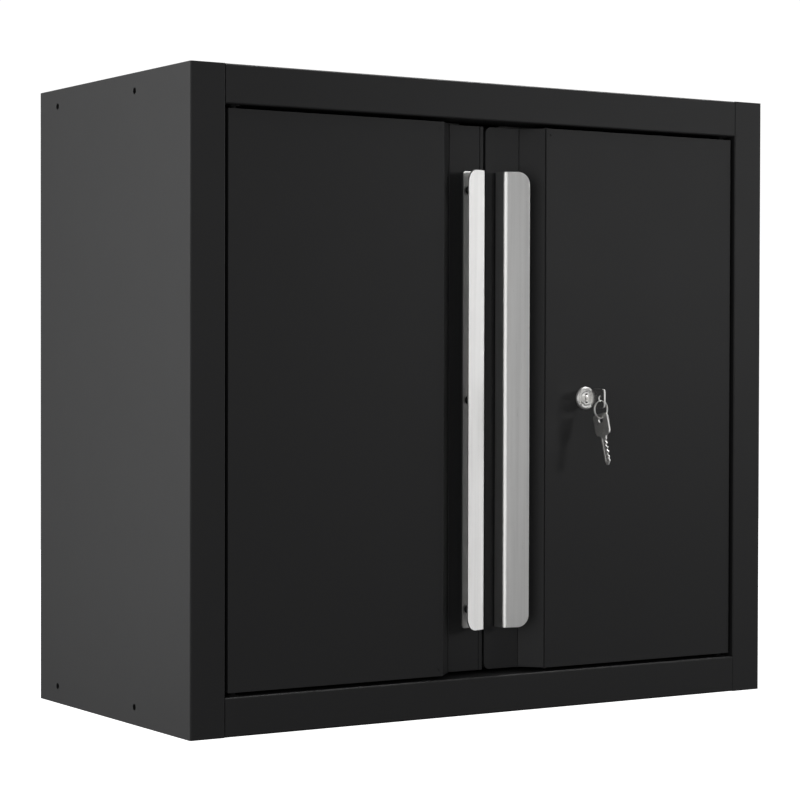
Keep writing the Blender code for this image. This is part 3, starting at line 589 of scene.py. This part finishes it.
def handle(side):
    path = [
        (side * HANDLE_FLANGE, HANDLE_BACK),
        (side * HANDLE_WEB, HANDLE_BACK),
        (side * HANDLE_WEB, HANDLE_BEND_Y),
        (side * GRIP_EDGE[0], GRIP_EDGE[1]),
    ]
    low = -HANDLE_HALF + HANDLE_TRIM - HANDLE_DROP
    high = HANDLE_HALF - HANDLE_TRIM - HANDLE_DROP
    bm = strip(rounded(path, HANDLE_BEND, 12), "Z", low, high)
    for edge_x, radius, steps in ((HANDLE_FLANGE, FLANGE_CORNER, 6), (GRIP_EDGE[0], GRIP_CORNER, 16)):
        corners = [v for v in bm.verts if v.is_boundary and abs(v.co.x - side * edge_x) < 1e-5]
        bmesh.ops.bevel(bm, geom=corners, offset=radius, segments=steps, profile=0.5, affect="VERTICES")
    made = object_of(f"pull_{word(side)}", bm)
    solidify(made, HANDLE_SHEET, inward=side > 0)
    bake(made)
    holes = bmesh.new()
    for z in SCREW_Z:
        x = side * SCREW_X
        add_cylinder(holes, (x, FRONT + 0.015, z), (x, FRONT + 0.024, z), SCREW_HOLE)
    boolean(made, holes)
    node = f"handle_{word(side)}"
    piece(made, f"door_{word(side)}", [node], STEEL, edge=0.00035, segments=3)


def dome(radius, height, steps=7, foot=0.0):
    """The profile of a pan head, from its crown to its foot."""
    return [(radius * math.sin(a), foot + height * math.cos(a) ** 0.8)
            for a in (math.pi / 2 * step / steps for step in range(steps + 1))]


def handle_screw(side, index, z):
    profile = [(r, h + 0.0003) for r, h in dome(SCREW_HEAD, SCREW_HEAD_HEIGHT)]
    profile += [(SCREW_HEAD, 0), (SCREW_SHANK, 0), (SCREW_SHANK, -SCREW_LENGTH), (0, -SCREW_LENGTH)]
    made = object_of(f"pan_screw_{word(side)}_{index}", revolved(profile, 40))
    for x, y in ((CROSS_LONG, CROSS_THIN), (CROSS_THIN, CROSS_LONG)):
        cross = bmesh.new()
        add_box(cross, (-x, -y, CROSS_FLOOR), (x, y, SCREW_HEAD))
        boolean(made, cross)
    turn = Matrix.Rotation(math.radians(20 + 47 * index), 4, "Z")
    made.data.transform(Matrix.Translation((side * SCREW_X, SCREW_SEAT - GAP, z))
                        @ Matrix.Rotation(math.radians(90), 4, "X") @ turn)
    node = f"handle_{word(side)}_screw_{index}"
    piece(made, f"door_{word(side)}", [node], SCREW_BLACK, edge=0.00008)


# ---------------------------------------------------------------- lock and keys

TO_VIEWER = Matrix.Rotation(math.radians(90), 4, "X")


def lock_housing():
    front = -BEZEL_FRONT
    seat = -(DOOR_FACE - GAP)
    back = -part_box("lock_housing")[1].y
    profile = [
        (0.0071, front - 0.0008),
        (0.0078, front - 0.0008),
        (0.0081, front - 0.0003),
        (0.0090, front),
        (0.0098, front - 0.0001),
        (0.0107, front - 0.0007),
        (BEZEL_RADIUS - 0.0001, front - 0.0015),
        (BEZEL_RADIUS, seat + 0.0002),
        (BEZEL_RADIUS - 0.0002, seat),
        (0.009, seat),
        (0.009, back),
        (0.0071, back),
    ]
    made = object_of("lock_barrel", revolved(profile, 96, looped=True))
    made.data.transform(Matrix.Translation((LOCK_X, 0, 0)) @ TO_VIEWER)
    piece(made, "door_right", ["lock_housing"], SATIN, edge=0)


def lock_plug():
    front = -(BEZEL_FRONT + 0.0004)
    tail = -(FRONT + 0.0288)
    end = -(FRONT + 0.0355)
    profile = [
        (0, front),
        (PLUG_RADIUS - 0.0006, front),
        (PLUG_RADIUS, front - 0.0006),
        (PLUG_RADIUS, tail),
        (TAIL_RADIUS, tail),
        (TAIL_RADIUS, end),
        (0, end),
    ]
    made = object_of("lock_core_plug", revolved(profile, 64))
    made.data.transform(Matrix.Translation((LOCK_X, 0, 0)) @ TO_VIEWER)
    keyway = bmesh.new()
    wide, tall = KEYWAY_HALF
    add_box(keyway, (LOCK_X - wide, FRONT - 0.003, -tall), (LOCK_X + wide, FRONT + 0.022, tall))
    boolean(made, keyway)
    bore = bmesh.new()
    add_cylinder(bore, (LOCK_X, FRONT + 0.027, 0), (LOCK_X, FRONT + 0.040, 0), 0.0018, 24)
    boolean(made, bore)
    piece(made, "lock_core", ["lock_plug"], SATIN)


def key_outline():
    """A flat key round its ring hole: a chamfered bow, and a blade with cut teeth on its +Y side."""
    top, foot, half, tip = 0.0062, -0.0153, 0.0095, -0.0443
    blade = 0.0032
    out = [(half, top - 0.0035), (half - 0.0010, top - 0.0008), (half - 0.0036, top)]
    out += [(-half + 0.0036, top)]
    out += [(-half + 0.0010, top - 0.0008), (-half, top - 0.0035), (-half, foot + 0.0042)]
    out += [(-half + 0.0012, foot + 0.0014), (-half + 0.0045, foot), (-blade - 0.0006, foot - 0.0006)]
    out += [(-blade, foot - 0.0020), (-blade, tip + 0.0045), (-0.0010, tip), (0.0004, tip),
            (0.0020, tip + 0.0022)]
    pitch = 0.0044
    for index, depth in enumerate((0.0007, 0.0017, 0.0011, 0.0020, 0.0013)):
        z = tip + 0.0040 + pitch * index
        out += [(blade, z), (blade - depth, z + 0.0014), (blade - depth, z + 0.0024), (blade, z + 0.0037)]
    out += [(blade, foot - 0.0020), (blade + 0.0006, foot - 0.0006), (half - 0.0045, foot)]
    out += [(half - 0.0012, foot + 0.0014), (half, foot + 0.0042)]
    return out


def key(name, body, node, plate, place):
    made = object_of(name, extruded(key_outline(), "X", *both(KEY_HALF_THICKNESS)))
    cuts = bmesh.new()
    add_cylinder(cuts, (-0.005, 0, 0), (0.005, 0, 0), KEY_HOLE_RADIUS, 40)
    for x in both(0.00125):
        add_box(cuts, (x - 0.0006, -0.0016, -0.041), (x + 0.0006, -0.0005, -0.0175))
    boolean(made, cuts)
    made.data.transform(place)
    piece(made, body, [node], plate, edge=0.0004, segments=3)
    made.data.materials.append(SATIN)
    # The flat faces keep the plate, and the rims and teeth take the brighter satin as a painted edge
    # highlight.
    across = place.to_3x3() @ Vector((1, 0, 0))
    for polygon in made.data.polygons:
        polygon.material_index = int(abs(polygon.normal.dot(across)) < 0.9)


def key_ring():
    """A split ring: one wire that runs twice round, its two turns side by side."""
    curve = bpy.data.curves.new("split_ring", "CURVE")
    curve.dimensions = "3D"
    curve.bevel_depth = RING_WIRE
    curve.bevel_resolution = 5
    curve.use_fill_caps = True
    spline = curve.splines.new("POLY")
    spline.points.add(RING_STEPS - 1)
    for index, point in enumerate(spline.points):
        share = index / (RING_STEPS - 1)
        angle = math.tau * RING_TURNS * share
        climb = 0.5 - 0.5 * math.cos(math.pi * min(1, max(0, (share - 0.40) / 0.14)))
        height = (climb - 0.5) * 2 * RING_WIRE * 1.02
        point.co = (RING_RADIUS * math.cos(angle), RING_RADIUS * math.sin(angle), height, 1)
    made = bpy.data.objects.new("split_ring", curve)
    bpy.context.scene.collection.objects.link(made)
    place = (Matrix.Translation(WIRE_TOP - Vector((0, 0, RING_RADIUS))) @ Matrix.Rotation(RING_TURN, 4, "Z")
             @ Matrix.Rotation(math.radians(90), 4, "X") @ Matrix.Rotation(math.radians(130), 4, "Z"))
    graph = bpy.context.evaluated_depsgraph_get()
    mesh = bpy.data.meshes.new_from_object(made.evaluated_get(graph))
    bpy.data.objects.remove(made, do_unlink=True)
    bm = bmesh.new()
    bm.from_mesh(mesh)
    bmesh.ops.remove_doubles(bm, verts=bm.verts, dist=1e-6)
    bmesh.ops.recalc_face_normals(bm, faces=bm.faces)
    ring = object_of("key_split_ring", bm)
    ring.data.transform(place)
    piece(ring, "key_ring", ["key_ring"], SATIN, edge=0)


def keys():
    hole = Vector((LOCK_X, WIRE_TOP.y, 0))
    key("key_in_lock", "key", "key", POLISHED, Matrix.Translation(hole) @ TO_VIEWER)
    key_ring()
    hanging = (Matrix.Translation(WIRE_LOW) @ Matrix.Rotation(RING_TURN, 4, "Z")
               @ Matrix.Rotation(SPARE_TILT, 4, "X") @ Matrix.Translation((0, 0, WIRE_TOP.z))
               @ Matrix.Rotation(math.pi, 4, "Z"))
    key("key_spare", "spare_key", "spare_key", NICKEL, hanging)


# ---------------------------------------------------------------- CAD nodes that stay


def keep(nodes, material, edge):
    """Give a CAD node its material, small round edges and clean shading."""
    for node in nodes:
        shown = frame["nodes"][node]
        shown.data.materials.clear()
        shown.data.materials.append(material)
        bevel(shown, edge, 2)
        shown.modifiers["edges"].harden_normals = True


def kept_nodes():
    sides = ("left", "right")
    uprights = [f"shelf_upright_{s}_{p}" for s in sides for p in ("front", "rear")]
    clips = [f"shelf_clip_{s}_{p}" for s in sides for p in ("front", "rear")]
    pins = [f"hinge_pin_{s}_{p}" for s in sides for p in ("top", "bottom")]
    bushings = [f"hinge_bushing_{s}_{p}" for s in sides for p in ("top", "bottom")]
    keep(uprights + ["shelf"] + [f"door_{s}_liner" for s in sides], PAINT, 0.0002)
    # The hinge pins are black as painted shade in the hinge gaps.
    keep(pins, PIN_PAINTED_SHADE, 0.0002)
    levelled = [f"{name}_{level}" for name in ("hanging_rail", "rod_guide", "rod")
                for level in ("upper", "lower")]
    keep(clips + levelled + ["lock_nut", "lock_cam", "cam_screw"], ZINC, 0.0002)
    # The bushings are black nylon, darkened further as painted shade in the hinge gaps.
    keep(bushings, NYLON_AND_PAINTED_SHADE, 0.0001)
    keep([f"catch_body_{s}" for s in sides], PLASTIC, 0.0003)
    keep([f"catch_magnet_{s}" for s in sides], MAGNET, 0.0001)


# ---------------------------------------------------------------- studio


def camera():
    data = bpy.data.cameras.new("camera")
    data.sensor_width = 36
    data.lens = 109.674
    data.clip_start, data.clip_end = 0.1, 60
    made = bpy.data.objects.new("camera", data)
    bpy.context.scene.collection.objects.link(made)
    yaw, pitch, roll = (math.radians(angle) for angle in (32.427, -0.980, 0.130))
    ahead = Vector((math.sin(yaw) * math.cos(pitch), math.cos(yaw) * math.cos(pitch), math.sin(pitch)))
    right = Vector((math.cos(yaw), -math.sin(yaw), 0))
    up = right.cross(ahead)
    right, up = (right * math.cos(roll) + up * math.sin(roll), up * math.cos(roll) - right * math.sin(roll))
    turn = Matrix((right, up, -ahead)).transposed().to_4x4()
    made.matrix_world = Matrix.Translation((-1.3318, -2.2484, 0.0388)) @ turn
    bpy.context.scene.camera = made


def softbox(name, place, target, size, power, colour=(1, 1, 1)):
    data = bpy.data.lights.new(name, "AREA")
    data.shape = "RECTANGLE"
    data.size, data.size_y = size
    data.energy = power
    data.color = colour
    made = bpy.data.objects.new(name, data)
    made.location = place
    made.rotation_euler = (Vector(target) - Vector(place)).to_track_quat("-Z", "Y").to_euler()
    bpy.context.scene.collection.objects.link(made)


ROOM_LOW = 0.08
ROOM_HIGH = 0.12


def surroundings():
    """A white sweep for the camera; a grey room, brighter above, for what the surfaces reflect."""
    world = bpy.data.worlds.new("studio")
    world.use_nodes = True
    nodes, links = world.node_tree.nodes, world.node_tree.links
    output = next(node for node in nodes if node.type == "OUTPUT_WORLD")
    room = nodes["Background"]
    room.inputs["Color"].default_value = (1, 1, 1, 1)
    split = nodes.new("ShaderNodeSeparateXYZ")
    links.new(nodes.new("ShaderNodeTexCoord").outputs["Generated"], split.inputs["Vector"])
    upward = nodes.new("ShaderNodeMapRange")
    upward.interpolation_type = "SMOOTHSTEP"
    upward.inputs["From Min"].default_value = -0.5
    upward.inputs["From Max"].default_value = 0.7
    upward.inputs["To Min"].default_value = ROOM_LOW
    upward.inputs["To Max"].default_value = ROOM_HIGH
    links.new(split.outputs["Z"], upward.inputs["Value"])
    links.new(upward.outputs["Result"], room.inputs["Strength"])
    sweep = nodes.new("ShaderNodeBackground")
    sweep.inputs["Color"].default_value = (1, 1, 1, 1)
    sweep.inputs["Strength"].default_value = 1.06
    path = nodes.new("ShaderNodeLightPath")
    mix = nodes.new("ShaderNodeMixShader")
    links.new(path.outputs["Is Camera Ray"], mix.inputs["Fac"])
    links.new(room.outputs["Background"], mix.inputs[1])
    links.new(sweep.outputs["Background"], mix.inputs[2])
    links.new(mix.outputs["Shader"], output.inputs["Surface"])
    bpy.context.scene.world = world


def floor():
    bm = bmesh.new()
    bmesh.ops.create_grid(bm, x_segments=1, y_segments=1, size=14)
    made = object_of("floor", bm)
    made.location.z = -1.35
    pale = Shader("pale_floor", Roughness=0.9)
    pale.bsdf.inputs["Emission Color"].default_value = (1, 1, 1, 1)
    pale.bsdf.inputs["Emission Strength"].default_value = 1.2
    pale.colours(pale.noise(3, 2), (0.82, 0.82, 0.82), (0.84, 0.84, 0.84))
    made.data.materials.append(pale.material)
    made.visible_diffuse = False
    made.visible_glossy = False


def lights():
    softbox("key_light", (2.0, -2.6, 0.45), (0, -0.3, 0), (0.5, 0.5), 7.8)
    softbox("right_softbox", (2.9, -1.2, 0.0), (0, -0.3, 0), (0.7, 2.4), 8.8)
    softbox("front_softbox", (-0.75, -3.1, 0.1), (0, -0.3, 0), (0.6, 1.8), 6)
    softbox("left_softbox", (-2.1, 1.2, 0.3), (-0.33, -0.16, 0), (1.6, 2.2), 34)
    softbox("left_front_softbox", (-2.1, -1.9, 0.2), (0, -0.3, 0), (2.0, 2.2), 16)
    softbox("crown_softbox", (1.3, -0.35, 2.1), (0, -0.3, 0.2), (0.7, 0.5), 42)
    softbox("rear_softbox", (1.5, 2.9, 1.2), (0, 0, 0), (1.6, 1.6), 45)


def main():
    for side in (-1, 1):
        side_panel(side)
        door_skin(side)
        handle(side)
        for index, z in enumerate(SCREW_Z, 1):
            handle_screw(side, index, z)
    for level in (-1, 1):
        end_panel(level)
    back_panel()
    lock_housing()
    lock_plug()
    keys()
    kept_nodes()
    surroundings()
    floor()
    lights()
    camera()
    bpy.context.scene.view_settings.view_transform = "Standard"


main()
